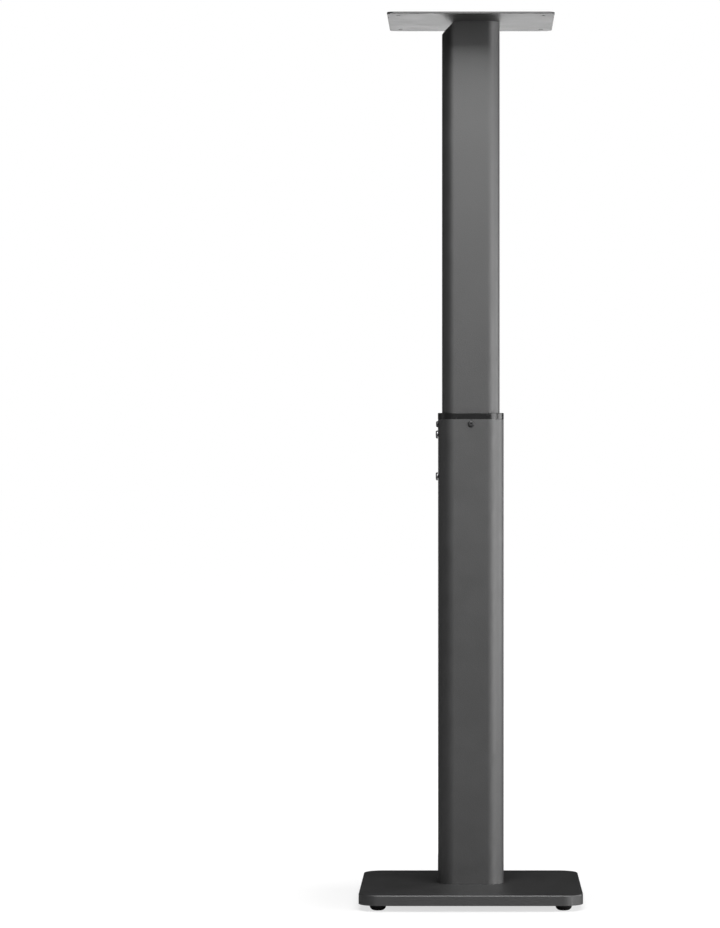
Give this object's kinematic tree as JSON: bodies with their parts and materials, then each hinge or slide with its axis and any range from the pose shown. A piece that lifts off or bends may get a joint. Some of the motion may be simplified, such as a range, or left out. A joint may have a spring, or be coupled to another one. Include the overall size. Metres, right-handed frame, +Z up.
{
  "type": "height-adjustable speaker stand",
  "caption": "Speaker stand: square base on rubber feet, telescoping flat-oval column with a slotted rear clamp, and a flat screw-down plate that holds one speaker.",
  "frame": {"origin": "on the floor, under the middle of the base", "axes": "+Z up along the column, +X to the front (away from the clamp screws), +Y to the stand's left"},
  "size_m": [0.266, 0.266, 1.067],
  "materials": {
    "powder_coat": "fine-textured satin black powder coat",
    "bare_steel": "bare mild steel, hidden",
    "plated_steel": "zinc-plated",
    "black_steel": "black oxide",
    "foot_rubber": "matte",
    "gloss_black_plastic": "gloss black",
    "guide_plastic": "matte black nylon"
  },
  "bodies": {
    "stand_base": {"base_plate": "powder_coat", "foot_front_left": "foot_rubber", "foot_front_right": "foot_rubber", "foot_rear_left": "foot_rubber", "foot_rear_right": "foot_rubber", "foot_washers": "plated_steel", "foot_screws": "plated_steel", "outer_column": "powder_coat", "column_foot_plate": "bare_steel", "base_bolts": "plated_steel", "base_washers": "plated_steel", "guide_collar": "gloss_black_plastic", "collar_screw_rear": "black_steel", "collar_screw_left": "black_steel", "collar_screw_right": "black_steel"},
    "lift": {"inner_column": "powder_coat", "lower_guide": "guide_plastic", "lock_nut_upper": "plated_steel", "lock_nut_lower": "plated_steel", "head_plate": "bare_steel", "top_plate": "powder_coat", "plate_screws": "black_steel"},
    "upper_lock": {"lock_screw_upper": "plated_steel"},
    "lower_lock": {"lock_screw_lower": "plated_steel"}
  },
  "joints": [
    {"name": "height_slide", "type": "slide", "parent": "stand_base", "child": "lift", "axis": [0, 0, 1], "range_m": [-0.4572, 0]},
    {"name": "upper_lock_withdraw", "type": "slide", "parent": "lift", "child": "upper_lock", "axis": [-1, 0, 0], "range_m": [0, 0.016]},
    {"name": "lower_lock_withdraw", "type": "slide", "parent": "lift", "child": "lower_lock", "axis": [-1, 0, 0], "range_m": [0, 0.016]}
  ]
}
